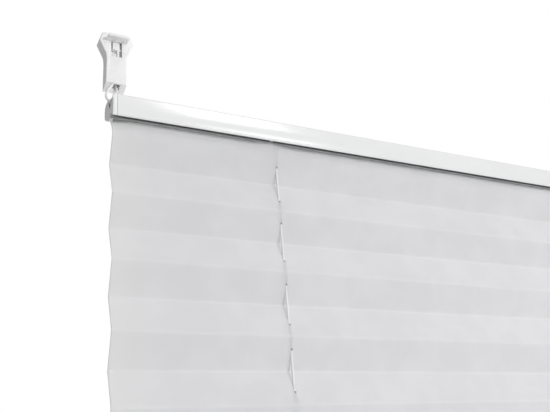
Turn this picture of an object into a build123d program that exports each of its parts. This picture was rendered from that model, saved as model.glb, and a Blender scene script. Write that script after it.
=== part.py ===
from build123d import *
import os

# Free-hanging tensioned pleated blind.  Millimetres, +Z up, -Y towards the room,
# +X to the right as seen from the room.
#
# The geometry is laid out from the upper left corner of the fabric (X = 0 at the
# fabric's left edge, Y = 0 at the front fold line, Z = 0 at the first rear fold)
# and is moved at the end, so that the origin is the centre of the screw hole in
# the back face of the upper left tension shoe.

# ---------------------------------------------------------------- dimensions
fabric_width = 797.0        # width of the pleated fabric
rear_folds = 23             # folds that point to the window
panel = 20.0                # height of one fabric panel between two folds
pitch = 37.8                # height of one pleat when the blind is tensioned
fold_depth = (panel**2 - (pitch / 2) ** 2) ** 0.5
fabric_thickness = 0.3
slot_z = 25.1               # mouth of the fabric slot, above the first rear fold
fabric_slot_y = 0.65        # the fabric leaves the holder strip here
cord_x = 104.4              # cord column, from the fabric's edge
cord_y = 3.3
cord_d = 1.3
hole_w, hole_half_y = 2.0, 0.9

cap_out = 1.4               # how far an end cap stands out past the fabric
cap_in = 1.0                # where the cap's plate ends and the rail begins
rail_start = 1.2

shoe_x = 3.5                # centre of a tension shoe, from the fabric's edge
shoe_back, shoe_front = 10.25, 3.05
screw_z = 73.4
screw_r = 1.7
shoe_wall_front, shoe_wall_back = 1.0, 1.6
socket_half = 2.5

handle_half = 21.0

mirror_z = -(rear_folds - 1) * pitch / 2        # mid height of the blind
t_y = fabric_thickness * panel / (pitch / 2)    # the fabric's thickness along Y
W = fabric_width

print("fold depth", round(fold_depth, 3), "mid height", round(mirror_z, 2))


# ---------------------------------------------------------------- helpers
def yz(points, x0, x1):
    """Prism along X over an outline given as (Y, Z)."""
    w = Polyline(*[(0.0, y, z) for y, z in points], close=True)
    return extrude(make_face(w), amount=x1 - x0, dir=(1, 0, 0)).moved(Pos(x0, 0, 0))


def xz(points, y0, y1):
    """Prism along Y over an outline given as (X, Z)."""
    w = Polyline(*[(x, 0.0, z) for x, z in points], close=True)
    return extrude(make_face(w), amount=y1 - y0, dir=(0, 1, 0)).moved(Pos(0, y0, 0))


def block(x0, x1, y0, y1, z0, z1):
    return Pos((x0 + x1) / 2, (y0 + y1) / 2, (z0 + z1) / 2) * Box(
        x1 - x0, y1 - y0, z1 - z0
    )


def rod(a, b, r):
    """Round bar or bore from a to b, along one axis."""
    a, b = Vector(*a), Vector(*b)
    return Plane(origin=a, z_dir=(b - a)) * Cylinder(
        r, (b - a).length, align=(Align.CENTER, Align.CENTER, Align.MIN)
    )


def tube(points, radii, d):
    path = FilletPolyline(*points, radius=radii)
    start = path @ 0
    return sweep(Plane(origin=start, z_dir=path % 0) * Circle(d / 2), path=path)


def to_bottom(shape):
    return mirror(shape, about=Plane.XY.offset(mirror_z))


def to_right(shape):
    return mirror(shape, about=Plane.YZ.offset(W / 2))


parts = {}

# ---------------------------------------------------------------- rails
# Extruded C section, open below, with a convex front and a rear lip.
rail_outer = [
    (-5.9, 25.2), (-6.1, 24.35), (-6.55, 24.05), (-7.0, 24.3), (-7.2, 25.0),
    (-7.42, 27.5), (-7.52, 30.5), (-7.48, 33.5), (-7.2, 36.4), (-6.85, 37.3),
    (-6.1, 37.75), (4.0, 37.9), (7.4, 37.2), (8.95, 35.8), (9.6, 33.8),
    (9.75, 31.2), (9.45, 28.9), (8.3, 27.35), (4.6, 27.1),
]
rail_inner = [
    (4.6, 28.2), (7.6, 28.4), (8.35, 29.5), (8.65, 31.2), (8.5, 33.3),
    (7.9, 34.9), (6.8, 36.1), (3.9, 36.8), (-5.8, 36.65), (-6.15, 35.8),
    (-6.38, 33.3), (-6.42, 30.5), (-6.32, 27.6), (-5.9, 25.2),
]
top_rail = yz(rail_outer + rail_inner[:-1], rail_start, W - rail_start)
parts["top_rail"] = top_rail
parts["bottom_rail"] = to_bottom(top_rail)

# ---------------------------------------------------------------- fabric holder strips
strip_outline = [
    (-2.2, 25.1), (fabric_slot_y - 0.3, 25.1), (fabric_slot_y - 0.3, 26.55),
    (fabric_slot_y + 0.3, 26.55), (fabric_slot_y + 0.3, 25.1), (6.6, 25.1),
    (6.6, 26.95), (4.35, 26.95), (4.35, 28.45), (6.1, 28.45), (5.5, 29.7),
    (3.0, 29.7), (3.0, 27.4), (-0.5, 27.4), (-0.5, 25.7), (-2.2, 25.7),
]
strip = yz(strip_outline, rail_start + 0.1, W - rail_start - 0.1)
strip += block(-1.2, W + 1.2, -2.2, -0.65, 25.1, 25.7)   # lip that crosses the caps
for x in (cord_x, W - cord_x):
    strip -= rod((x, cord_y, 24.0), (x, cord_y, 31.0), 1.9)
parts["top_fabric_strip"] = strip
parts["bottom_fabric_strip"] = to_bottom(strip)

# ---------------------------------------------------------------- end caps
cap_outline = [
    (-6.0, 25.2), (-6.15, 24.35), (-6.6, 23.95), (-7.05, 24.2), (-7.3, 25.0),
    (-7.55, 27.5), (-7.7, 30.5), (-7.65, 34.0), (-7.35, 37.0), (-6.9, 37.7),
    (4.2, 38.0), (7.5, 37.3), (9.1, 35.8), (9.8, 33.6), (9.9, 31.2),
    (9.5, 28.8), (8.3, 27.7), (2.6, 24.3), (0.9, 23.3), (0.2, 23.1),
    (-0.2, 23.5), (-0.4, 24.9), (-0.4, 27.4), (-5.4, 27.4), (-6.0, 26.8),
]
notch = [
    (-6.35, 39.0), (-6.3, 35.6), (-5.4, 34.1), (-3.3, 33.3), (-1.0, 30.7),
    (0.2, 30.7), (2.3, 33.6), (3.3, 36.0), (4.3, 39.0),
]
cap = yz(cap_outline, -cap_out, cap_in) - yz(notch, -3.0, 2.0)
# The plate is thin behind the notch, and slit in its lower edge.
cap -= block(-0.95, 2.0, -3.2, 4.7, 28.6, 36.8)
cap -= block(-cap_out - 1.0, -cap_out + 1.2, 4.2, 4.6, 24.0, 26.8)
# Below the slot only a thin tab is left, outside the fabric's edge.
cap -= block(-0.6, 2.0, -3.2, 9.0, 22.0, 25.0)
cap -= block(-0.95, 2.0, -3.2, 1.2, 22.0, 25.0)
# Two prongs grip the inside of the rail and leave the middle free for the cord.
cap += yz([(-6.2, 29.0), (-6.2, 33.5), (-6.0, 35.5), (-5.65, 36.4), (-3.4, 36.4), (-3.4, 29.0)],
          cap_in, 11.0)
cap += yz([(4.9, 30.0), (4.9, 36.3), (6.6, 35.9), (7.6, 34.7), (8.2, 33.0),
           (8.35, 31.2), (8.1, 30.0)], cap_in, 11.0)
parts["top_end_cap_left"] = cap
parts["top_end_cap_right"] = to_right(cap)
parts["bottom_end_cap_left"] = to_bottom(cap)
parts["bottom_end_cap_right"] = to_right(to_bottom(cap))

# ---------------------------------------------------------------- cord guides
turn_z, turn_r = 32.2, 2.5
run_y, run_left_z, run_right_z = 0.6, 34.3, 31.9


def guide(x, side):
    """side is +1 where the turning cord arrives from the right, -1 from the left."""
    g = yz([(-4.6, 30.2), (-4.6, 35.9), (6.2, 35.9), (7.6, 34.4), (7.6, 30.2)],
           x - 7.0, x + 7.0)
    g += rod((x, cord_y, 24.3), (x, cord_y, 30.2), 1.25)
    # foot that crosses the slot in front of the holder strip
    foot = x - 5.5 * side
    g += block(foot - 0.9, foot + 0.9, -4.6, -3.0, 25.4, 30.2)
    # passage for the cord that only goes by
    other_z = run_left_z if side > 0 else run_right_z
    g -= block(x - 8, x + 8, run_y - 1.0, run_y + 1.0, other_z - 1.0, other_z + 1.0)
    # passage of the cord that turns down
    g -= rod((x, cord_y, 24.0), (x, cord_y, turn_z + 0.2), 0.85)
    g -= block(min(x - 0.9 * side, x + 8 * side), max(x - 0.9 * side, x + 8 * side),
               cord_y - 0.95, cord_y + 0.95, turn_z - 3.6, turn_z + 1.0)
    return g


guide_l = guide(cord_x, +1)
guide_r = guide(W - cord_x, -1)
parts["top_cord_guide_left"] = guide_l
parts["top_cord_guide_right"] = guide_r
parts["bottom_cord_guide_left"] = to_bottom(guide_l)
parts["bottom_cord_guide_right"] = to_bottom(guide_r)

# ---------------------------------------------------------------- handles
mid = W / 2
handle = yz(
    [(-9.1, 22.6), (-7.85, 22.6), (-7.85, 36.6), (-7.5, 37.9), (-6.7, 38.1),
     (0.5, 38.1), (0.5, 39.3), (-7.4, 39.3), (-8.6, 38.7), (-9.1, 37.6)],
    mid - handle_half, mid + handle_half)
handle += yz([(-9.1, 22.6), (-7.85, 22.6), (-7.85, 24.0), (-9.1, 25.6),
              (-13.5, 23.4), (-14.4, 21.6), (-13.8, 21.0)],
             mid - handle_half + 3, mid + handle_half - 3)
parts["top_handle"] = handle
parts["bottom_handle"] = to_bottom(handle)

# ---------------------------------------------------------------- pleated fabric
centre = [(fabric_slot_y, slot_z + 1.3), (fabric_slot_y, slot_z - 0.9),
          (0.0, pitch / 2)]
for i in range(rear_folds):
    centre.append((fold_depth, -i * pitch))
    if i < rear_folds - 1:
        centre.append((0.0, -i * pitch - pitch / 2))
low = [(y, 2 * mirror_z - z) for y, z in centre[:3]]
centre += low[::-1]
outline = [(y - t_y / 2, z) for y, z in centre]
outline += [(y + t_y / 2, z) for y, z in centre[::-1]]
fabric = yz(outline, 0.0, W)
# corners step in beside the end caps
for x0, x1 in ((-1.0, 1.4), (W - 1.4, W + 1.0)):
    fabric -= block(x0, x1, -4, 6, 24.8, 30)
    fabric -= block(x0, x1, -4, 6, 2 * mirror_z - 30, 2 * mirror_z - 24.8)
# one straight row of punched holes for each cord
for x in (cord_x, W - cord_x):
    fabric -= block(x - hole_w / 2, x + hole_w / 2, cord_y - hole_half_y,
                    cord_y + hole_half_y, 2 * mirror_z - 15, 15)
parts["pleated_fabric"] = fabric

# ---------------------------------------------------------------- tension shoes
z_front, z_back = 50.5, 47.5          # the open lower end is cut at a slant


def shoe_at():
    s = xz([(-6.2, 47.0), (-5.9, 66.0), (-6.25, 69.5), (-10.1, 77.9), (-8.5, 83.2),
            (-7.7, 83.9), (7.7, 83.9), (8.5, 83.2), (10.1, 77.9), (6.25, 69.5),
            (5.9, 66.0), (6.2, 47.0)], shoe_front, shoe_back)
    front = [e for e in s.edges() if abs(e.center().Y - shoe_front) < 1e-6
             and e.center().Z > 47.5]
    s = fillet(front, 0.55)
    # lip that stands forward over the window
    lip = xz([(-6.3, 78.3), (6.3, 78.3), (6.3, 79.2), (5.3, 80.3), (-5.3, 80.3),
              (-6.3, 79.2)], shoe_front - 5.8, shoe_front + 1.0)
    lip = chamfer([e for e in lip.edges()
                   if abs(e.center().Y - (shoe_front - 5.8)) < 1e-6], 0.5)
    s += lip
    # slanted lower end
    s -= yz([(0.0, z_front + (shoe_front - 0.0) * (z_front - z_back) / 7.2),
             (12.0, z_back - 1.75 * (z_front - z_back) / 7.2), (12.0, 40.0),
             (0.0, 40.0)], -12, 12)
    # socket, open below, and the chamber behind the window
    y0, y1 = shoe_front + shoe_wall_front, shoe_back - shoe_wall_back
    s -= block(-socket_half, socket_half, y0, y1, 45.0, 67.0)
    s -= block(-3.45, 3.45, y0, y1, 66.0, 79.6)
    # window
    s -= block(-3.2, 3.2, shoe_front - 0.2, y0 + 0.1, 68.3, 78.3)
    # small pointed tooth on the window's sill
    s += xz([(-1.9, 68.2), (-0.1, 68.2), (-0.5, 70.7)], shoe_front + 0.2, y0)
    # screw hole
    s -= rod((0, y1 - 1, screw_z), (0, shoe_back + 1, screw_z), screw_r)
    return s


bar_y, bar_z, bar_r = 6.2, 57.0, 0.9


def insert_at():
    """Snap-in cord holder: tongue in the window, cheeks and bar in the socket."""
    y0 = shoe_front + shoe_wall_front + 0.12
    i = block(-2.3, 1.8, shoe_front + 0.35, y0 + 1.1, 73.2, 78.2)
    i += block(1.5, 2.5, shoe_front + 0.5, y0 + 0.9, 72.7, 73.9)
    i += block(-2.3, 1.8, y0, y0 + 1.9, 66.5, 79.3)
    i -= block(-3, 3, y0 - 0.5, y0 + 2.5, 68.9, 72.9)
    i += block(0.6, 1.7, y0 - 0.5, y0 + 1.1, 68.4, 74.0)
    i += block(-3.3, 3.3, y0 + 1.8, y0 + 2.4, 66.2, 79.4)
    i += block(-2.35, 2.35, y0, y0 + 1.1, 59.5, 69.0)
    i += block(-2.35, -1.6, y0, 8.4, 55.0, 62.0)
    i += block(1.6, 2.35, y0, 8.4, 55.0, 62.0)
    i += rod((-2.0, bar_y, bar_z), (2.0, bar_y, bar_z), bar_r)
    return i


shoe, insert = shoe_at(), insert_at()
for name, x, low_end in (("upper_left", shoe_x, False), ("upper_right", W - shoe_x, False),
                         ("lower_left", shoe_x, True), ("lower_right", W - shoe_x, True)):
    a, b = Pos(x, 0, 0) * shoe, Pos(x, 0, 0) * insert
    if low_end:      # the same shoe, turned half round about the screw's direction
        turn = Pos(x, 0, mirror_z) * Rot(0, 180, 0) * Pos(-x, 0, -mirror_z)
        a, b = turn * a, turn * b
    parts[f"tension_shoe_{name}"] = a
    parts[f"cord_holder_{name}"] = b

# ---------------------------------------------------------------- cords
# Each cord hangs from an upper shoe in a knotted loop, enters the top rail at
# that end, crosses the rail, turns down at the far column, passes every pleat,
# turns back through the bottom rail and ends in a loop on the lower shoe below
# the one it started from.  The two cords mirror each other, so both rails stay
# level as they slide.
knot = (-0.85, 0.85, 36.2)
loop = [
    (-1.05, 0.9, 36.3), (-2.35, 1.1, 37.6), (-2.85, 1.9, 39.9), (-2.3, 2.7, 42.2),
    (-0.6, 3.7, 46.0), (1.2, 4.5, 48.7), (2.1, 4.76, 51.2), (2.7, 4.74, 55.0),
    (2.9, 4.74, 58.52), (3.2, 7.66, 58.5), (3.2, 7.6, 55.0), (4.6, 7.7, 50.8),
    (5.1, 7.2, 47.2), (2.2, 1.7, 41.3), (0.6, -0.9, 38.9), (0.0, -0.8, 37.5),
    (-0.75, 0.5, 36.25),
]
loop_radii = [1.0, 3.5, 5, 8, 8, 8, 9, 1.4, 1.4, 6, 8, 5, 6, 2.0, 1.0]


def whole_cord(run_z, start_drop, at_right):
    """run_z is the height of the long run in the rail; start_drop says whether
    the cord steps down after the cap; at_right, which end it starts from."""
    far = W - cord_x

    def side(points):
        return [(W - x if at_right else x, y, z) for x, y, z in points]

    head = [(-0.5, 0.8, 36.0), (6.5, run_y, 34.3)]
    radii = [8.0]
    if start_drop:
        head += [(25.0, run_y + 0.05, 34.3), (60.0, run_y, run_z)]
        radii += [60.0, 60.0]
    head += [(far - 50.0, run_y, run_z), (far - 16.0, cord_y, turn_z),
             (far, cord_y, turn_z)]
    radii += [40.0, 25.0, turn_r]
    pts = head + [(x, y, 2 * mirror_z - z) for x, y, z in head[::-1]]
    radii = radii + radii[::-1]
    main = tube(side(pts), radii, cord_d)
    ring = tube(side(loop), loop_radii, cord_d)
    low = [(x, y, 2 * mirror_z - z) for x, y, z in loop]
    ring_low = tube(side(low), loop_radii, cord_d)
    (kx, ky, kz), = side([knot])
    ball = Pos(kx, ky, kz) * Sphere(1.15)
    ball_low = Pos(kx, ky, 2 * mirror_z - kz) * Sphere(1.15)
    c = main
    for piece in (ball, ball_low, ring, ring_low):
        c = c + piece
    print("cord length", round(main.volume / (3.14159265 * cord_d**2 / 4), 1),
          "loop length", round(ring.volume / (3.14159265 * cord_d**2 / 4), 1))
    return c


parts["cord_left"] = to_right(whole_cord(run_left_z, False, True))
parts["cord_right"] = to_right(whole_cord(run_right_z, True, False))

# ---------------------------------------------------------------- export
os.makedirs("parts", exist_ok=True)
origin = Pos(-shoe_x, -shoe_back, -screw_z)
for name, shape in parts.items():
    moved = origin * shape
    solids = moved.solids()
    out = solids[0] if len(solids) == 1 else Compound(children=list(solids))
    print(name, len(solids), [round(s.volume, 1) for s in solids])
    export_step(out, f"parts/{name}.step")
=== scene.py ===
import math

import bmesh
import bpy
import numpy as np
from mathutils import Matrix, Vector

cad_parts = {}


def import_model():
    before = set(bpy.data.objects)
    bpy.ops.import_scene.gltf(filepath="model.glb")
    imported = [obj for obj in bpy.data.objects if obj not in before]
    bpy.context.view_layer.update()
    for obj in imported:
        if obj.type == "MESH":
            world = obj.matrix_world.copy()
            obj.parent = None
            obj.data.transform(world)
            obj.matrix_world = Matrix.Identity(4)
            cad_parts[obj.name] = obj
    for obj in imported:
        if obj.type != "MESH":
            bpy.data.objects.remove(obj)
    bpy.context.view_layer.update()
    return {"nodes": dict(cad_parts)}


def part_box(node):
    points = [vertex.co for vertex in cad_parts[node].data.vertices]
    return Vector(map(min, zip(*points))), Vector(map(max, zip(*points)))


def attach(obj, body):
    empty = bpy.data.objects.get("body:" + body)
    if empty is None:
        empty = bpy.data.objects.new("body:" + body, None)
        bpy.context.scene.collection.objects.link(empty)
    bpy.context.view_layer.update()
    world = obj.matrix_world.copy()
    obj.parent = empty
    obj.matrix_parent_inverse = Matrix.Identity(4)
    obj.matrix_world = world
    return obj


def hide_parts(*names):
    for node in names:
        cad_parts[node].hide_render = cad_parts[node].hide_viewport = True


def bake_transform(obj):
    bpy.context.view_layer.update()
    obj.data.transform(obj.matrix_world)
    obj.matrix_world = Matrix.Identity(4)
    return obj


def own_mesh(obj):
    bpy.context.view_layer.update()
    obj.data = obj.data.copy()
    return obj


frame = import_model()

# ------------------------------------------------------------------ dimensions
# Millimetres, laid out from the fabric's upper left corner as the CAD model is.
# O moves them to the row frame, whose origin is the upper left shoe's screw hole.
O = np.array([3.5, 10.25, 73.4])
PANEL, PITCH, N_REAR = 20.0, 37.8, 23
DEPTH = math.sqrt(PANEL**2 - (PITCH / 2) ** 2)
WIDTH = (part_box("pleated_fabric")[1].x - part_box("pleated_fabric")[0].x) * 1000
MID = -(N_REAR - 1) * PITCH / 2
CORD_X, CORD_Y, CORD_R = 104.4, 3.3, 0.65
RAIL_X0 = 1.2
ROOT, TOP, LOW = "window_shoes", "top_rail_unit", "bottom_rail_unit"


def world(points):
    return (np.asarray(points, float) - O) * 0.001


def flip_z(points):
    p = np.array(points, float)
    p[..., 2] = 2 * MID - p[..., 2]
    return p


def flip_x(points):
    p = np.array(points, float)
    p[..., 0] = WIDTH - p[..., 0]
    return p


# ------------------------------------------------------------------ materials
def new_material(name):
    m = bpy.data.materials.new(name)
    m.use_nodes = True
    nt = m.node_tree
    nt.nodes.clear()
    out = nt.nodes.new("ShaderNodeOutputMaterial")
    bsdf = nt.nodes.new("ShaderNodeBsdfPrincipled")
    nt.links.new(bsdf.outputs[0], out.inputs["Surface"])
    return m, nt, bsdf, out


def node(nt, kind, **values):
    n = nt.nodes.new(kind)
    for k, v in values.items():
        if k in n.inputs:
            n.inputs[k].default_value = v
        else:
            setattr(n, k, v)
    return n


def mapped(nt, scale, kind="Object"):
    c = node(nt, "ShaderNodeTexCoord")
    m = node(nt, "ShaderNodeMapping")
    m.inputs["Scale"].default_value = scale
    nt.links.new(c.outputs[kind], m.inputs["Vector"])
    return m.outputs["Vector"]


def noise_tint(nt, bsdf, dark, light, scale, low=0.4, high=0.6, detail=4.0):
    """Base colour that wanders between two close tints."""
    n = node(nt, "ShaderNodeTexNoise", Scale=scale, Detail=detail)
    nt.links.new(mapped(nt, (1, 1, 1)), n.inputs["Vector"])
    r = node(nt, "ShaderNodeValToRGB")
    r.color_ramp.elements[0].position, r.color_ramp.elements[1].position = low, high
    r.color_ramp.elements[0].color = (*dark, 1)
    r.color_ramp.elements[1].color = (*light, 1)
    nt.links.new(n.outputs["Fac"], r.inputs["Fac"])
    return r.outputs["Color"]


def rough_range(nt, bsdf, scale, low, high):
    n = node(nt, "ShaderNodeTexNoise", Scale=scale, Detail=3.0)
    nt.links.new(mapped(nt, (1, 1, 1)), n.inputs["Vector"])
    m = node(nt, "ShaderNodeMapRange")
    m.inputs["To Min"].default_value, m.inputs["To Max"].default_value = low, high
    nt.links.new(n.outputs["Fac"], m.inputs["Value"])
    nt.links.new(m.outputs["Result"], bsdf.inputs["Roughness"])


def bump(nt, bsdf, height, strength, distance):
    b = node(nt, "ShaderNodeBump", Strength=strength, Distance=distance)
    nt.links.new(height, b.inputs["Height"])
    nt.links.new(b.outputs["Normal"], bsdf.inputs["Normal"])
    return b


def moulded(name, dark, light, rough=(0.36, 0.46), grain=0.06, deep=0.0):
    """White injection-moulded plastic with a faint grain."""
    m, nt, bsdf, _ = new_material(name)
    nt.links.new(noise_tint(nt, bsdf, dark, light, 120.0), bsdf.inputs["Base Color"])
    rough_range(nt, bsdf, 300.0, *rough)
    n = node(nt, "ShaderNodeTexNoise", Scale=2600.0, Detail=2.0)
    nt.links.new(mapped(nt, (1, 1, 1)), n.inputs["Vector"])
    bump(nt, bsdf, n.outputs["Fac"], grain, 0.0001)
    bsdf.inputs["Specular IOR Level"].default_value = 0.45
    bsdf.inputs["Subsurface Weight"].default_value = deep
    bsdf.inputs["Subsurface Radius"].default_value = (1.0, 1.0, 1.0)
    bsdf.inputs["Subsurface Scale"].default_value = 0.0012
    return m


def paint(name):
    """Gloss white powder coat with a very slight orange peel."""
    m, nt, bsdf, _ = new_material(name)
    nt.links.new(
        noise_tint(nt, bsdf, (0.815, 0.818, 0.822), (0.835, 0.838, 0.842), 25.0),
        bsdf.inputs["Base Color"])
    rough_range(nt, bsdf, 60.0, 0.14, 0.2)
    n = node(nt, "ShaderNodeTexNoise", Scale=420.0, Detail=1.0)
    nt.links.new(mapped(nt, (0.35, 1, 1)), n.inputs["Vector"])
    bump(nt, bsdf, n.outputs["Fac"], 0.03, 0.0002)
    bsdf.inputs["Coat Weight"].default_value = 0.35
    bsdf.inputs["Coat Roughness"].default_value = 0.08
    return m


def inside_painted_shade(name):
    """Inside of the extrusion, coloured near black as painted shade in the rail's slot, with a drawn grain
    along its length.
    """
    m, nt, bsdf, _ = new_material(name)
    nt.links.new(
        noise_tint(nt, bsdf, (0.035, 0.035, 0.037), (0.06, 0.06, 0.063), 90.0),
        bsdf.inputs["Base Color"])
    bsdf.inputs["Metallic"].default_value = 0.3
    n = node(nt, "ShaderNodeTexNoise", Scale=900.0, Detail=2.0)
    nt.links.new(mapped(nt, (0.02, 1, 1)), n.inputs["Vector"])
    bump(nt, bsdf, n.outputs["Fac"], 0.2, 0.0002)
    bsdf.inputs["Roughness"].default_value = 0.55
    return m


def braid(name):
    """White braided polyester: two sets of crossing strands on the tube's own map, with painted shade in
    the gaps between strands.
    """
    m, nt, bsdf, _ = new_material(name)
    c = node(nt, "ShaderNodeTexCoord")
    s = node(nt, "ShaderNodeSeparateXYZ")
    nt.links.new(c.outputs["UV"], s.inputs[0])
    heights = []
    for sign in (1, -1):
        a = node(nt, "ShaderNodeMath", operation="MULTIPLY")
        a.inputs[1].default_value = 4.0 * sign
        nt.links.new(s.outputs["X"], a.inputs[0])
        b = node(nt, "ShaderNodeMath", operation="ADD")
        nt.links.new(a.outputs[0], b.inputs[0])
        nt.links.new(s.outputs["Y"], b.inputs[1])
        f = node(nt, "ShaderNodeMath", operation="MULTIPLY")
        f.inputs[1].default_value = 2 * math.pi
        nt.links.new(b.outputs[0], f.inputs[0])
        g = node(nt, "ShaderNodeMath", operation="SINE")
        nt.links.new(f.outputs[0], g.inputs[0])
        heights.append(g.outputs[0])
    top = node(nt, "ShaderNodeMath", operation="MAXIMUM")
    nt.links.new(heights[0], top.inputs[0])
    nt.links.new(heights[1], top.inputs[1])
    r = node(nt, "ShaderNodeMapRange")
    r.inputs["From Min"].default_value, r.inputs["From Max"].default_value = -0.7, 1.0
    nt.links.new(top.outputs[0], r.inputs["Value"])
    # painted shade: darker in the gaps between strands, lighter on their tops
    ramp = node(nt, "ShaderNodeValToRGB")
    ramp.color_ramp.elements[0].color = (0.74, 0.74, 0.73, 1)
    ramp.color_ramp.elements[1].color = (0.90, 0.90, 0.895, 1)
    nt.links.new(r.outputs["Result"], ramp.inputs["Fac"])
    nt.links.new(ramp.outputs["Color"], bsdf.inputs["Base Color"])
    bump(nt, bsdf, r.outputs["Result"], 0.5, 0.00012)
    bsdf.inputs["Roughness"].default_value = 0.6
    bsdf.inputs["Subsurface Weight"].default_value = 0.0
    return m


def cloth(name):
    """Matt white polyester: plain weave, a painted highlight along the folds, painted light towards the cut
    edges, painted shade at the ends of the cord holes, and some light passing through."""
    m, nt, bsdf, out = new_material(name)
    base = noise_tint(nt, bsdf, (0.782, 0.782, 0.793), (0.802, 0.802, 0.813), 60.0)
    # painted highlight: the colour turns lighter along the folds
    fold = node(nt, "ShaderNodeAttribute", attribute_name="fold")
    mix = node(nt, "ShaderNodeMix", data_type="RGBA")
    nt.links.new(fold.outputs["Fac"], mix.inputs["Factor"])
    nt.links.new(base, mix.inputs[6])
    mix.inputs[7].default_value = (0.89, 0.89, 0.895, 1)
    # painted light: the colour turns lighter towards the left and right cut edges
    edge = node(nt, "ShaderNodeAttribute", attribute_name="edge")
    mix2 = node(nt, "ShaderNodeMix", data_type="RGBA")
    nt.links.new(edge.outputs["Fac"], mix2.inputs["Factor"])
    nt.links.new(mix.outputs[2], mix2.inputs[6])
    mix2.inputs[7].default_value = (0.83, 0.83, 0.83, 1)
    # painted shade: near black at the top and bottom ends of each cord hole
    hole_shade = node(nt, "ShaderNodeAttribute", attribute_name="hole_shade")
    mix3 = node(nt, "ShaderNodeMix", data_type="RGBA")
    nt.links.new(hole_shade.outputs["Fac"], mix3.inputs["Factor"])
    nt.links.new(mix2.outputs[2], mix3.inputs[6])
    mix3.inputs[7].default_value = (0.10, 0.10, 0.10, 1)
    nt.links.new(mix3.outputs[2], bsdf.inputs["Base Color"])
    bsdf.inputs["Roughness"].default_value = 0.85
    bsdf.inputs["Specular IOR Level"].default_value = 0.15
    # plain weave on the cloth's own map: warp and weft threads, 0.35 mm apart
    c = node(nt, "ShaderNodeTexCoord")
    s = node(nt, "ShaderNodeSeparateXYZ")
    nt.links.new(c.outputs["UV"], s.inputs[0])
    waves = []
    for axis in ("X", "Y"):
        f = node(nt, "ShaderNodeMath", operation="MULTIPLY")
        f.inputs[1].default_value = 2 * math.pi / 0.35
        nt.links.new(s.outputs[axis], f.inputs[0])
        g = node(nt, "ShaderNodeMath", operation="SINE")
        nt.links.new(f.outputs[0], g.inputs[0])
        waves.append(g.outputs[0])
    w = node(nt, "ShaderNodeMath", operation="MULTIPLY")
    nt.links.new(waves[0], w.inputs[0])
    nt.links.new(waves[1], w.inputs[1])
    slub = node(nt, "ShaderNodeTexNoise", Scale=1.0, Detail=3.0)
    sm = node(nt, "ShaderNodeMapping")
    sm.inputs["Scale"].default_value = (0.05, 1.6, 1)
    nt.links.new(c.outputs["UV"], sm.inputs["Vector"])
    nt.links.new(sm.outputs["Vector"], slub.inputs["Vector"])
    h = node(nt, "ShaderNodeMath", operation="MULTIPLY_ADD")
    h.inputs[1].default_value = 0.25
    nt.links.new(w.outputs[0], h.inputs[0])
    nt.links.new(slub.outputs["Fac"], h.inputs[2])
    b = bump(nt, bsdf, h.outputs[0], 0.12, 0.0001)
    through = node(nt, "ShaderNodeBsdfTranslucent")
    nt.links.new(mix3.outputs[2], through.inputs["Color"])
    nt.links.new(b.outputs["Normal"], through.inputs["Normal"])
    blend = node(nt, "ShaderNodeMixShader")
    blend.inputs[0].default_value = 0.50
    nt.links.new(bsdf.outputs[0], blend.inputs[1])
    nt.links.new(through.outputs[0], blend.inputs[2])
    nt.links.new(blend.outputs[0], out.inputs["Surface"])
    return m


M_PAINT = paint("gloss_white_paint")
# near-black painted shade for the inside of the rail profile
M_INSIDE_SHADE = inside_painted_shade("rail_inside_painted_shade")
M_CAP = moulded("cap_white", (0.845, 0.847, 0.85), (0.865, 0.867, 0.87), (0.3, 0.4))
M_SHOE = moulded("shoe_white", (0.85, 0.85, 0.85), (0.87, 0.87, 0.87), (0.42, 0.52), 0.08, 0.3)
# painted shade: the holder strip is coloured mid grey to stand in for the shade under the rail's lip
M_STRIP = moulded("holder_strip_painted_shade", (0.36, 0.363, 0.365), (0.385, 0.388, 0.39))
M_CORD = braid("cord_braid")
M_CLOTH = cloth("pleat_weave")


# ------------------------------------------------------------------ mesh helpers
def add(name, verts, faces, mats, uvs=None):
    me = bpy.data.meshes.new(name)
    me.from_pydata([tuple(map(float, v)) for v in verts], [], [tuple(f) for f in faces])
    me.validate()
    for m in mats:
        me.materials.append(m)
    o = bpy.data.objects.new(name, me)
    bpy.context.scene.collection.objects.link(o)
    return o


def smooth(o, degrees):
    me = o.data
    me.polygons.foreach_set("use_smooth", [True] * len(me.polygons))
    me.set_sharp_from_angle(angle=math.radians(degrees))
    me.update()


def outward(o):
    bm = bmesh.new()
    bm.from_mesh(o.data)
    bmesh.ops.recalc_face_normals(bm, faces=bm.faces)
    bm.to_mesh(o.data)
    bm.free()


def arc3(a, b, c, n):
    """n points of the arc from a through b to c, a included and c left out (2-D)."""
    ax, ay = a; bx, by = b; cx, cy = c
    d = 2 * (ax * (by - cy) + bx * (cy - ay) + cx * (ay - by))
    ux = ((ax**2 + ay**2) * (by - cy) + (bx**2 + by**2) * (cy - ay) + (cx**2 + cy**2) * (ay - by)) / d
    uy = ((ax**2 + ay**2) * (cx - bx) + (bx**2 + by**2) * (ax - cx) + (cx**2 + cy**2) * (bx - ax)) / d
    r = math.hypot(ax - ux, ay - uy)
    t0, t1, t2 = (math.atan2(q[1] - uy, q[0] - ux) for q in (a, b, c))
    # go from t0 to t2 through t1
    span = (t2 - t0) % (2 * math.pi)
    mid = (t1 - t0) % (2 * math.pi)
    if mid > span:
        span -= 2 * math.pi
    return [(ux + r * math.cos(t0 + span * i / n), uy + r * math.sin(t0 + span * i / n)) for i in range(n)]


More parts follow.
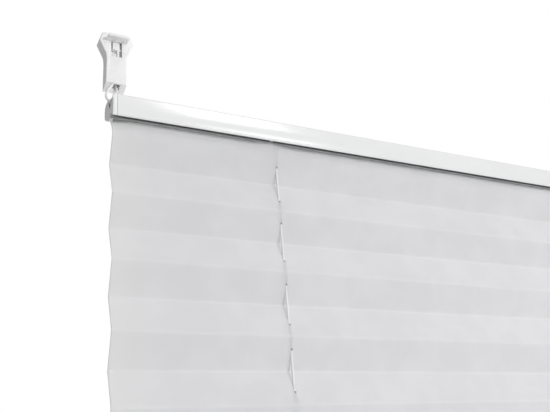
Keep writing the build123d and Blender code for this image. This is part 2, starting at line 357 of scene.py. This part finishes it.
def prism(name, outline, x0, x1, mats, index=None, cuts=(), degrees=32):
    """Closed prism along X over an outline in (Y, Z)."""
    xs = [x0, *cuts, x1]
    n = len(outline)
    verts = [(x, y, z) for x in xs for y, z in outline]
    faces, which = [], []
    for k in range(len(xs) - 1):
        for i in range(n):
            j = (i + 1) % n
            faces.append((k * n + i, k * n + j, (k + 1) * n + j, (k + 1) * n + i))
            which.append(index[i] if index else 0)
    faces.append(tuple(range(n))[::-1])
    faces.append(tuple((len(xs) - 1) * n + i for i in range(n)))
    which += [0, 0]
    o = add(name, world(verts), faces, mats)
    o.data.polygons.foreach_set("material_index", which)
    outward(o)
    smooth(o, degrees)
    return o


def mirrored(o, name, axis):
    """A copy of o mirrored about the blind's middle, along X or Z."""
    c = o.copy()
    c.data = o.data.copy()
    c.name = name
    c.data.name = name
    bpy.context.scene.collection.objects.link(c)
    centre = world([WIDTH / 2, 0, MID])
    co = np.zeros(len(c.data.vertices) * 3)
    c.data.vertices.foreach_get("co", co)
    co = co.reshape(-1, 3)
    k = {"X": 0, "Z": 2}[axis]
    co[:, k] = 2 * centre[k] - co[:, k]
    c.data.vertices.foreach_set("co", co.ravel())
    c.data.flip_normals()
    c.data.update()
    return c


def bspline(points, per=10):
    """Points of a smooth curve that starts and ends at the given ends."""
    p = np.array([points[0], points[0], *points, points[-1], points[-1]], float)
    p[0] = p[1] = p[2]
    out = []
    for i in range(len(p) - 3):
        a, b, c, d = p[i:i + 4]
        for t in np.linspace(0, 1, per, endpoint=False):
            out.append(((1 - t) ** 3 * a + (3 * t**3 - 6 * t**2 + 4) * b
                        + (-3 * t**3 + 3 * t**2 + 3 * t + 1) * c + t**3 * d) / 6)
    out.append(p[-1])
    out = np.array(out)
    keep = [0]
    for i in range(1, len(out)):
        if np.linalg.norm(out[i] - out[keep[-1]]) > 0.02:
            keep.append(i)
    return out[keep]


def tube_data(path, r, sides=12, repeat=1.1):
    """Vertices, faces and a (turn, length) map of a tube along a path in mm."""
    path = np.asarray(path, float)
    tang = np.gradient(path, axis=0)
    tang /= np.linalg.norm(tang, axis=1)[:, None]
    ref = np.array([0.0, 1.0, 0.0]) if abs(tang[0][1]) < 0.9 else np.array([1.0, 0, 0])
    n = np.cross(tang[0], ref); n /= np.linalg.norm(n)
    rings, length = [], np.concatenate([[0], np.cumsum(np.linalg.norm(np.diff(path, axis=0), axis=1))])
    radius = r if hasattr(r, "__len__") else [r] * len(path)
    for i, (p, t) in enumerate(zip(path, tang)):
        n = n - t * np.dot(n, t); n /= np.linalg.norm(n)
        b = np.cross(t, n)
        rings.append([p + radius[i] * (math.cos(a) * n + math.sin(a) * b)
                      for a in np.linspace(0, 2 * math.pi, sides, endpoint=False)])
    verts = [v for ring in rings for v in ring]
    faces, uv = [], []
    for i in range(len(path) - 1):
        for j in range(sides):
            k = (j + 1) % sides
            faces.append((i * sides + j, i * sides + k, (i + 1) * sides + k, (i + 1) * sides + j))
            v0, v1 = length[i] / repeat, length[i + 1] / repeat
            u0, u1 = j / sides, (j + 1) / sides
            uv += [(u0, v0), (u1, v0), (u1, v1), (u0, v1)]
    for ring, rev in ((0, True), (len(path) - 1, False)):
        f = [ring * sides + j for j in range(sides)]
        faces.append(tuple(f[::-1] if rev else f))
        uv += [(0.5, length[ring] / repeat)] * sides
    return verts, faces, uv


def tubes(name, runs, mat):
    """One piece made of several tubes; runs is [(path, radius, sides)]."""
    verts, faces, uvs = [], [], []
    for path, r, sides in runs:
        v, f, u = tube_data(path, r, sides)
        n = len(verts)
        verts += list(v)
        faces += [tuple(i + n for i in q) for q in f]
        uvs += u
    o = add(name, world(verts), faces, [mat])
    layer = o.data.uv_layers.new(name="map")
    layer.data.foreach_set("uv", np.array(uvs, float).ravel())
    outward(o)
    smooth(o, 60)
    return o


def refine(cad, name, mat, width, body, segments=3, angle=30, nose=None):
    """A copy of a CAD node's mesh with its sharp edges broken, as a moulded part's are.
    nose is a second, larger width for the edges that stand furthest to the room."""
    src = frame["nodes"][cad]
    me = src.data.copy()
    me.materials.clear()
    me.materials.append(mat)
    bm = bmesh.new()
    bm.from_mesh(me)
    bmesh.ops.remove_doubles(bm, verts=bm.verts, dist=2e-6)
    bmesh.ops.dissolve_limit(bm, angle_limit=math.radians(1.5), verts=bm.verts, edges=bm.edges)
    bmesh.ops.recalc_face_normals(bm, faces=bm.faces)
    for f in bm.faces:
        f.smooth = True
        f.material_index = 0
    if nose:
        weight = bm.edges.layers.float.get("bevel_weight_edge")
        if weight is None:
            weight = bm.edges.layers.float.new("bevel_weight_edge")
        limit = min(v.co.y for v in bm.verts) + 0.0018
        for e in bm.edges:
            if len(e.link_faces) == 2 and e.calc_face_angle() > math.radians(angle):
                far = all(v.co.y < limit for v in e.verts)
                e[weight] = 1.0 if far else width / nose
    bm.to_mesh(me)
    bm.free()
    o = bpy.data.objects.new(name, me)
    bpy.context.scene.collection.objects.link(o)
    b = o.modifiers.new("edges", "BEVEL")
    b.width, b.segments = (nose or width) * 0.001, segments
    b.limit_method = "WEIGHT" if nose else "ANGLE"
    b.angle_limit = math.radians(angle)
    b.harden_normals = True
    b.use_clamp_overlap = True
    b.miter_outer = "MITER_ARC"
    dg = bpy.context.evaluated_depsgraph_get()
    done = bpy.data.meshes.new_from_object(o.evaluated_get(dg), preserve_all_data_layers=True, depsgraph=dg)
    o.modifiers.clear()
    o.data = done
    done.name = name
    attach(o, body)
    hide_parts(cad)
    return o


# ------------------------------------------------------------------ rails
front = arc3((-7.2, 25.0), (-7.52, 30.6), (-7.2, 36.4), 14)
corner = arc3((-7.2, 36.4), (-6.93, 37.35), (-6.1, 37.75), 6)
lip = arc3((-5.9, 25.2), (-6.55, 24.1), (-7.2, 25.0), 10)
back = [(4.0, 37.9), (5.8, 37.72), (7.4, 37.2), (8.3, 36.6), (8.95, 35.8), (9.35, 34.9),
        (9.6, 33.8), (9.74, 32.5), (9.75, 31.2), (9.65, 30.0), (9.45, 28.9), (9.0, 28.0),
        (8.3, 27.35)]
inner = [(4.6, 27.1), (4.6, 28.2), (7.6, 28.4), (8.35, 29.5), (8.65, 31.2), (8.5, 33.3),
         (7.9, 34.9), (6.8, 36.1), (3.9, 36.8), (-5.8, 36.65), (-6.15, 35.8),
         (-6.38, 33.3), (-6.42, 30.5), (-6.32, 27.6)]
outline = lip + front + corner + [(-6.1, 37.75)] + back + inner
# the inside faces of the profile take the near-black painted shade
index = [0] * (len(outline) - len(inner)) + [1] * len(inner)
index[-1] = 1
rail = prism("top_rail_shell", outline, RAIL_X0, WIDTH - RAIL_X0, [M_PAINT, M_INSIDE_SHADE],
             index, cuts=[WIDTH * k / 8 for k in range(1, 8)])
low_rail = mirrored(rail, "bottom_rail_shell", "Z")
for o, body, cad in ((rail, TOP, "top_rail"), (low_rail, LOW, "bottom_rail")):
    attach(o, body)
    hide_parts(cad)

# ------------------------------------------------------------------ moulded parts
for end, body in (("top", TOP), ("bottom", LOW)):
    for side in ("left", "right"):
        refine(f"{end}_end_cap_{side}", f"{end}_cap_{side}", M_CAP, 0.15, body,
               nose=0.6)
        refine(f"{end}_cord_guide_{side}", f"{end}_guide_{side}", M_CAP, 0.18, body, 2)
    refine(f"{end}_handle", f"{end}_grip", M_CAP, 0.45, body)
    refine(f"{end}_fabric_strip", f"{end}_holder_strip", M_STRIP, 0.12, body, 2)
for corner_name in ("upper_left", "upper_right", "lower_left", "lower_right"):
    refine(f"tension_shoe_{corner_name}", f"shoe_{corner_name}", M_SHOE, 0.4, ROOT)
    refine(f"cord_holder_{corner_name}", f"holder_{corner_name}", M_SHOE, 0.3, ROOT)

# ------------------------------------------------------------------ pleated fabric
ROWS = [0, 0.02, 0.06, 0.2, 0.5, 0.8, 0.94, 0.98, 1.0]      # across one panel
TOP_ROWS = [0, 0.12, 0.3, 0.45, 0.55, 0.68, 0.8, 0.91, 1.0]  # rail to first fold
TOP_Z = 25.1
SLOT_Z = 26.3
PATCH = 6.0                                                # half width of a holed patch
COLUMNS = (CORD_X, WIDTH - CORD_X)
HOLE_X, HOLE_S = 0.82, 2.4
PATCH_ROWS = (3, 5)                                        # rows that a patch spans


def wander(seed, x, size=1.0):
    """Smooth, repeatable unevenness along the blind."""
    r = np.random.default_rng(seed)
    f = r.uniform(0.004, 0.03, 4)
    p = r.uniform(0, 2 * math.pi, 4)
    a = r.uniform(0.3, 1.0, 4)
    return size * sum(ai * np.sin(2 * math.pi * fi * x + pi) for ai, fi, pi in zip(a, f, p)) / a.sum()


def near_column(x, width, aside=0.0):
    return sum(np.exp(-((x - c) / width) ** 2)
               for c in (CORD_X - aside, WIDTH - CORD_X + aside))


def crease(k, x, half):
    """Crease k of a half: 0 is where the fabric leaves the holder strip, 1 the soft
    first bend, then rear and front folds in turn down to the middle."""
    x = np.asarray(x, float)
    seed = 1000 * half + k
    last = 2 + (N_REAR - 1)
    if k == 0:
        edge = np.exp(-(x / 7.0) ** 2) + np.exp(-((WIDTH - x) / 7.0) ** 2)
        x = x - 0.5 * np.exp(-(x / 4.0) ** 2) + 0.5 * np.exp(-((WIDTH - x) / 4.0) ** 2)
        y = 0.65 + 2.7 * edge - 2.9 * near_column(x, 7.0, 5.5) + wander(seed, x, 0.12)
        return np.stack([x, y, np.full_like(x, TOP_Z)], -1)
    even = k % 2 == 0
    z = PITCH / 2 - (k - 1) * PITCH / 2
    damp = 0.0 if k == last else 1.0
    y = np.full_like(x, DEPTH if even else 0.0)
    y = y + damp * wander(seed, x, 0.16)
    zz = z + damp * wander(seed + 500, x, 0.14)
    if k == 1:
        y = y - 0.2 - 0.25 * near_column(x, 12.0, 5.5)
        zz = zz - 1.2
    return np.stack([x, y, zz], -1)


def first_bend(k, t, x, half):
    """The length from the strip's slot to the first rear fold, bent softly."""
    A, B, C = (crease(i, x, half) for i in (0, 1, 2))
    t = t[:, None]
    R1 = B + (A - B) / np.linalg.norm(A - B, axis=1)[:, None] * 3.5
    R2 = B + (C - B) / np.linalg.norm(C - B, axis=1)[:, None] * 4.0
    S = A * 1.0
    S[:, 2] = SLOT_Z
    S[:, 1] = 0.65 + 0.35 * (A[:, 1] - 0.65)

    def bend(u):
        return (1 - u) ** 2 * R1 + 2 * u * (1 - u) * B + u * u * R2

    if k == 0:
        return np.where(t < 0.12, S + (A - S) * (t / 0.12),
                        np.where(t < 0.55, A + (R1 - A) * ((t - 0.12) / 0.43),
                                 bend((t - 0.55) / 0.9)))
    return np.where(t < 0.2, bend(0.5 + t * 2.5), R2 + (C - R2) * ((t - 0.2) / 0.8))


def half_fabric(name, half):
    last = 2 + (N_REAR - 1)
    grid = [0.0, 0.6, 1.6, 3.2, 6.0, 10.0, 15.0]
    xs = list(grid)
    a, b = CORD_X - PATCH, CORD_X + PATCH
    for lo, hi in ((grid[-1], a), (b, WIDTH - b), (WIDTH - a, WIDTH - grid[-1])):
        n = max(2, round((hi - lo) / 9.0))
        steps = list(np.linspace(lo, hi, n + 1))
        if lo == grid[-1]:
            xs += steps[1:]
            xs += list(np.linspace(a, b, 7))[1:]
        elif lo == b:
            xs += steps[1:]
            xs += list(np.linspace(WIDTH - b, WIDTH - a, 7))[1:]
        else:
            xs += steps[1:]
    xs += [WIDTH - g for g in grid[-2::-1]]
    xs = np.array(xs)
    cols = len(xs)
    patch_cols = []
    for c in COLUMNS:
        i0 = int(np.argmin(abs(xs - (c - PATCH))))
        patch_cols.append((i0, i0 + 6, c))
    param = []          # (x, panel, t)
    hole_shade = []
    index = {}

    def vid(i, panel, r):
        rows = len(ROWS) - 1
        if r == rows and panel < last - 1:
            panel, r = panel + 1, 0
        key = (i, panel, r)
        if key not in index:
            index[key] = len(param)
            t = (TOP_ROWS if panel == 0 else ROWS)[r]
            param.append((xs[i], panel, t))
        return index[key]

    faces = []
    rows = len(ROWS) - 1
    for panel in range(last):
        holed = panel >= 1
        for i in range(cols - 1):
            if holed and any(i0 <= i < i1 for i0, i1, _ in patch_cols):
                continue
            for r in range(rows):
                faces.append((vid(i, panel, r), vid(i, panel, r + 1),
                              vid(i + 1, panel, r + 1), vid(i + 1, panel, r)))
        r0, r1 = PATCH_ROWS
        for i0, i1, _ in patch_cols if holed else []:
            for i in range(i0, i1):
                for r in [*range(r0), *range(r1, rows)]:
                    faces.append((vid(i, panel, r), vid(i, panel, r + 1),
                                  vid(i + 1, panel, r + 1), vid(i + 1, panel, r)))
        if not holed:
            continue
        for i0, i1, c in patch_cols:
            ring = [vid(i, panel, r0) for i in range(i0, i1)]
            ring += [vid(i1, panel, r) for r in range(r0, r1)]
            ring += [vid(i, panel, r1) for i in range(i1, i0, -1)]
            ring += [vid(i0, panel, r) for r in range(r1, r0, -1)]
            pos = np.array([(param[v][0] - c, param[v][2] * PANEL - PANEL / 2) for v in ring])
            ang = np.arctan2(pos[:, 1] / HOLE_S, pos[:, 0] / HOLE_X)
            hole = np.stack([HOLE_X * np.cos(ang), HOLE_S * np.sin(ang)], -1)
            outer = ring
            for w in (0.55, 0.25, 0.1, 0.045, 0.0):
                p = hole + (pos - hole) * w
                ids = []
                for q in p:
                    ids.append(len(param))
                    param.append((c + q[0], panel, (q[1] + PANEL / 2) / PANEL))
                    # the top and bottom ends of each hole's edge take the painted shade
                    if w < 0.12 and abs(math.sin(ang[len(ids) - 1])) > 0.9:
                        hole_shade.append(ids[-1])
                m = len(ring)
                for j in range(m):
                    k = (j + 1) % m
                    faces.append((outer[j], ids[j], ids[k], outer[k]))
                outer = ids
    par = np.array(param)
    x, panel, t = par[:, 0], par[:, 1].astype(int), par[:, 2]
    verts = np.zeros((len(par), 3))
    uv = np.zeros((len(par), 2))
    fold = np.zeros(len(par))
    for k in range(last):
        s = panel == k
        A, B = crease(k, x[s], half), crease(k + 1, x[s], half)
        ts = t[s][:, None]
        p = A + (B - A) * ts
        along = B - A
        nrm = np.stack([np.zeros(len(p)), along[:, 2], -along[:, 1]], -1)
        nrm /= np.linalg.norm(nrm, axis=1)[:, None]          # towards the room
        nrm *= np.where(nrm[:, 1:2] > 0, -1, 1)
        if k < 2:
            p = first_bend(k, t[s], x[s], half)
        bow = wander(7000 + 1000 * half + k, x[s], 0.10) + 0.02
        p = p + nrm * (np.sin(math.pi * t[s]) * bow * (k > 0))[:, None]
        # rounded folds: the last half millimetre turns in
        d = np.minimum(t[s], 1 - t[s]) * PANEL if k else (1 - t[s]) * 6.0
        near_front = np.where((t[s] < 0.5), (k % 2 == 1), ((k + 1) % 2 == 1))
        sharp = ((k > 1) | (t[s] > 0.5)) & (k > 0)            # the first bend is soft
        inward = 0.13 * np.clip(1 - d / 0.45, 0, 1) ** 2 * sharp
        p[:, 1] += np.where(near_front, inward, -inward)
        verts[s] = p
        uv[s, 0] = x[s]
        uv[s, 1] = (k - 1) * PANEL + t[s] * PANEL if k else t[s] * 6.3 - 6.3
        # painted highlight along the folds, stronger at the rear folds than at the front ones
        f = np.clip(1 - d / 0.7, 0, 1)
        fold[s] = f * np.where(near_front, 0.25, 0.42) * sharp
    verts[:, 0] += 0.55 * (np.exp(-x / 3.0) - np.exp(-(WIDTH - x) / 3.0))
    if half:
        verts = flip_z(verts)
        uv[:, 1] = 2 * last * PANEL - uv[:, 1]
    o = add(name, world(verts), faces, [M_CLOTH])
    me = o.data
    layer = me.uv_layers.new(name="cloth")
    loops = np.zeros(len(me.loops), int)
    me.loops.foreach_get("vertex_index", loops)
    layer.data.foreach_set("uv", uv[loops].ravel())
    # this attribute carries the painted highlight along the folds
    a = me.attributes.new("fold", "FLOAT", "POINT")
    a.data.foreach_set("value", fold)
    # painted light: lighter within about 20 mm of the left and right edges
    e = me.attributes.new("edge", "FLOAT", "POINT")
    d = np.minimum(x, WIDTH - x)
    e.data.foreach_set("value", 0.9 * np.exp(-((d / 20.0) ** 1.1)))
    # painted shade at the ends of the cord holes
    dark = np.zeros(len(par))
    dark[hole_shade] = 1.0
    q = me.attributes.new("hole_shade", "FLOAT", "POINT")
    q.data.foreach_set("value", dark)
    smooth(o, 80)
    # face the room
    me.update()
    if sum(p.normal.y for p in me.polygons) > 0:
        me.flip_normals()
    s = o.modifiers.new("cloth thickness", "SOLIDIFY")
    s.thickness, s.offset = 0.00028, 0.0
    return o


fabric_up = half_fabric("pleats_upper", 0)
fabric_low = half_fabric("pleats_lower", 1)
for o, joint in ((fabric_up, "top_rail_slide"), (fabric_low, "bottom_rail_slide")):
    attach(o, ROOT)
    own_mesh(o)
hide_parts("pleated_fabric")
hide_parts("pleated_fabric")

# ------------------------------------------------------------------ cords
KNOT = (-0.85, 0.85, 36.3)
LOOP = [
    (-1.0, 0.9, 36.5), (-1.9, 1.0, 37.2), (-2.75, 1.5, 38.8), (-2.9, 2.1, 40.6),
    (-2.2, 2.8, 43.0), (-0.7, 3.6, 46.2), (1.1, 4.5, 48.8), (2.1, 4.76, 51.4),
    (2.7, 4.74, 55.0), (2.9, 4.72, 58.3), (3.0, 6.2, 59.0), (3.1, 7.7, 58.3),
    (3.2, 7.6, 55.0), (4.4, 7.7, 51.2), (5.0, 7.1, 47.6), (3.8, 4.8, 44.3),
    (2.3, 1.9, 41.6), (0.9, -0.5, 39.0), (0.1, -0.7, 37.5), (-0.6, 0.5, 36.5),
]


def knot_path():
    """An overhand knot pulled small: a trefoil seen end on."""
    t = np.linspace(0, 2 * math.pi, 60, endpoint=False)
    x = np.sin(t) + 2 * np.sin(2 * t)
    z = np.cos(t) - 2 * np.cos(2 * t)
    y = -np.sin(3 * t)
    p = np.stack([x * 0.26, y * 0.42, z * 0.26], -1) + np.array(KNOT)
    return np.concatenate([p, p[:2]])


def cord_pieces(name, run_z, drop, right):
    def side(p):
        return flip_x(p) if right else np.asarray(p, float)

    far = WIDTH - CORD_X
    made = []
    for low in (False, True):
        place = (lambda p: flip_z(side(p))) if low else side
        end = "low" if low else "top"
        body = LOW if low else TOP
        loop_path = bspline(LOOP, 8)
        ends = tubes(f"{name}_loop_{end}",
                     [(place(loop_path), 0.7, 14), (place(knot_path()), 0.46, 10)], M_CORD)
        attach(ends, ROOT)
        stub_top, stub_low = (-0.75, 0.75, 36.7), (-0.75, 0.75, 36.05)
        stub = tubes(f"{name}_free_{end}", [(place([stub_top, stub_low]), 0.6, 12)], M_CORD)
        tuple(world(place([stub_top])[0]))
        tuple(world(place([stub_low])[0]))
        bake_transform(stub)
        pts = [stub_low, (-0.6, 0.74, 35.98), (0.3, 0.72, 35.8), (3.0, 0.66, 35.1), (6.5, 0.6, 34.4)]
        if drop:
            pts += [(14.0, 0.6, 34.3), (25.0, 0.6, 34.3), (60.0, 0.6, run_z)]
        pts += [(80.0, 0.6, run_z)] + [(x, 0.6, run_z) for x in np.linspace(150, far - 90, 9)]
        pts += [(far - 50.0, 0.6, run_z), (far - 32, 2.0, run_z * 0.5 + 16.1), (far - 16.0, 3.3, 32.2),
                (far - 6.0, 3.3, 32.2), (far - 1.8, 3.3, 32.15), (far - 0.1, 3.3, 30.5), (far, 3.3, 28.6),
                (far, 3.3, 26.6)]
        inside = tubes(f"{name}_in_rail_{end}", [(place(bspline(pts, 5)), 0.6, 10)], M_CORD)
        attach(inside, body)
        top_z = 26.8
        zs = np.linspace(top_z, MID, 24)
        col = tubes(f"{name}_column_{end}",
                    [(place([(far, CORD_Y, z) for z in zs]), CORD_R, 14)], M_CORD)
        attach(col, ROOT)
        tuple(world(side([(far, CORD_Y, MID)])[0]))
        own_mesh(col)
        made += [ends, stub, inside, col]
    for o in made:
        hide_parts(name)


cord_pieces("cord_left", 34.3, False, False)
cord_pieces("cord_right", 31.9, True, True)

# ------------------------------------------------------------------ surroundings
floor_mesh = bpy.data.meshes.new("floor")
fz = -1.85
floor_mesh.from_pydata([(-6, -6, fz), (7, -6, fz), (7, 6, fz), (-6, 6, fz)], [], [(0, 1, 2, 3)])
floor = bpy.data.objects.new("floor", floor_mesh)
bpy.context.scene.collection.objects.link(floor)
fm, fnt, fb, _ = new_material("pale_floor")
fnt.links.new(noise_tint(fnt, fb, (0.78, 0.78, 0.78), (0.8, 0.8, 0.8), 3.0), fb.inputs["Base Color"])
fb.inputs["Roughness"].default_value = 0.9
floor_mesh.materials.append(fm)

sc = bpy.context.scene
sc.view_settings.view_transform = "Standard"
sc.view_settings.look = "None"
w = bpy.data.worlds.new("studio")
sc.world = w
w.use_nodes = True
nt = w.node_tree
nt.nodes.clear()
out = nt.nodes.new("ShaderNodeOutputWorld")
# soft daylight, stronger from the room's right-hand side
amb = node(nt, "ShaderNodeBackground")
amb.inputs["Color"].default_value = (1, 1, 1, 1)
direction = node(nt, "ShaderNodeTexCoord")
slope = node(nt, "ShaderNodeVectorMath", operation="DOT_PRODUCT")
slope.inputs[1].default_value = (0.24, -0.15, 0.09)
nt.links.new(direction.outputs["Generated"], slope.inputs[0])
level = node(nt, "ShaderNodeMath", operation="ADD")
level.inputs[1].default_value = 0.52
nt.links.new(slope.outputs["Value"], level.inputs[0])
nt.links.new(level.outputs[0], amb.inputs["Strength"])
see = node(nt, "ShaderNodeBackground", Strength=1.0)
see.inputs["Color"].default_value = (1, 1, 1, 1)
lp = node(nt, "ShaderNodeLightPath")
mx = node(nt, "ShaderNodeMixShader")
nt.links.new(lp.outputs["Is Camera Ray"], mx.inputs[0])
nt.links.new(amb.outputs[0], mx.inputs[1])
nt.links.new(see.outputs[0], mx.inputs[2])
nt.links.new(mx.outputs[0], out.inputs["Surface"])


def softbox(name, azimuth, elevation, distance, width, height, radiance, target, gloss):
    """azimuth is to the right of the blind's front, elevation above level; a gloss box
    is only there to be mirrored, the others only to light."""
    a, e = math.radians(azimuth), math.radians(elevation)
    d = Vector((math.sin(a) * math.cos(e), -math.cos(a) * math.cos(e), math.sin(e)))
    light = bpy.data.lights.new(name, "AREA")
    light.shape, light.size, light.size_y = "RECTANGLE", width, height
    light.energy = radiance * math.pi * width * height
    o = bpy.data.objects.new(name, light)
    sc.collection.objects.link(o)
    o.visible_camera = False
    o.visible_glossy = gloss
    o.visible_diffuse = o.visible_transmission = not gloss
    o.location = Vector(target) + d * distance
    o.rotation_euler = d.to_track_quat("Z", "Y").to_euler()
    return o


softbox("front_box", -14, 24, 2.6, 2.0, 0.8, 0.42, (0.2, -0.01, -0.15), False)
softbox("key_box", 22, 4, 5.0, 0.34, 0.34, 236.0, (0.2, -0.01, -0.15), False)
softbox("back_box", 180, 0, 0.6, 1.3, 1.3, 2.2, (0.66, -0.01, -0.45), False)
softbox("upper_box", 26.3, 36.5, 1.3, 0.268, 0.37, 6.0, (0.085, -0.0178, -0.041), True)
softbox("lower_box", 26.0, 16.5, 1.3, 0.26, 0.06, 14.0, (0.085, -0.0178, -0.046), True)

# ------------------------------------------------------------------ camera
cam = bpy.data.cameras.new("camera")
cam.sensor_width, cam.sensor_fit = 36.0, "HORIZONTAL"
cam.lens = 36 * 735.3 / 550
cam.shift_x, cam.shift_y = 0.00255, -0.00273
cam.clip_start = 0.01
yaw, pitch, roll = (math.radians(v) for v in (28.99, 21.43, 4.53))
wv = Vector((math.sin(yaw) * math.cos(pitch), math.cos(yaw) * math.cos(pitch), math.sin(pitch)))
rv = Vector((math.cos(yaw), -math.sin(yaw), 0))
dv = wv.cross(rv)
dv = -dv if dv.z > 0 else dv
r2 = rv * math.cos(roll) + dv * math.sin(roll)
d2 = dv * math.cos(roll) - rv * math.sin(roll)
loc = world(np.array([-2.65, -9.501, -4.666]) * PITCH)
co = bpy.data.objects.new("camera", cam)
sc.collection.objects.link(co)
m = Matrix.Identity(4)
for i, v in enumerate((r2, -d2, -wv)):
    for k in range(3):
        m[k][i] = v[k]
for k in range(3):
    m[k][3] = loc[k]
co.matrix_world = m
sc.camera = co
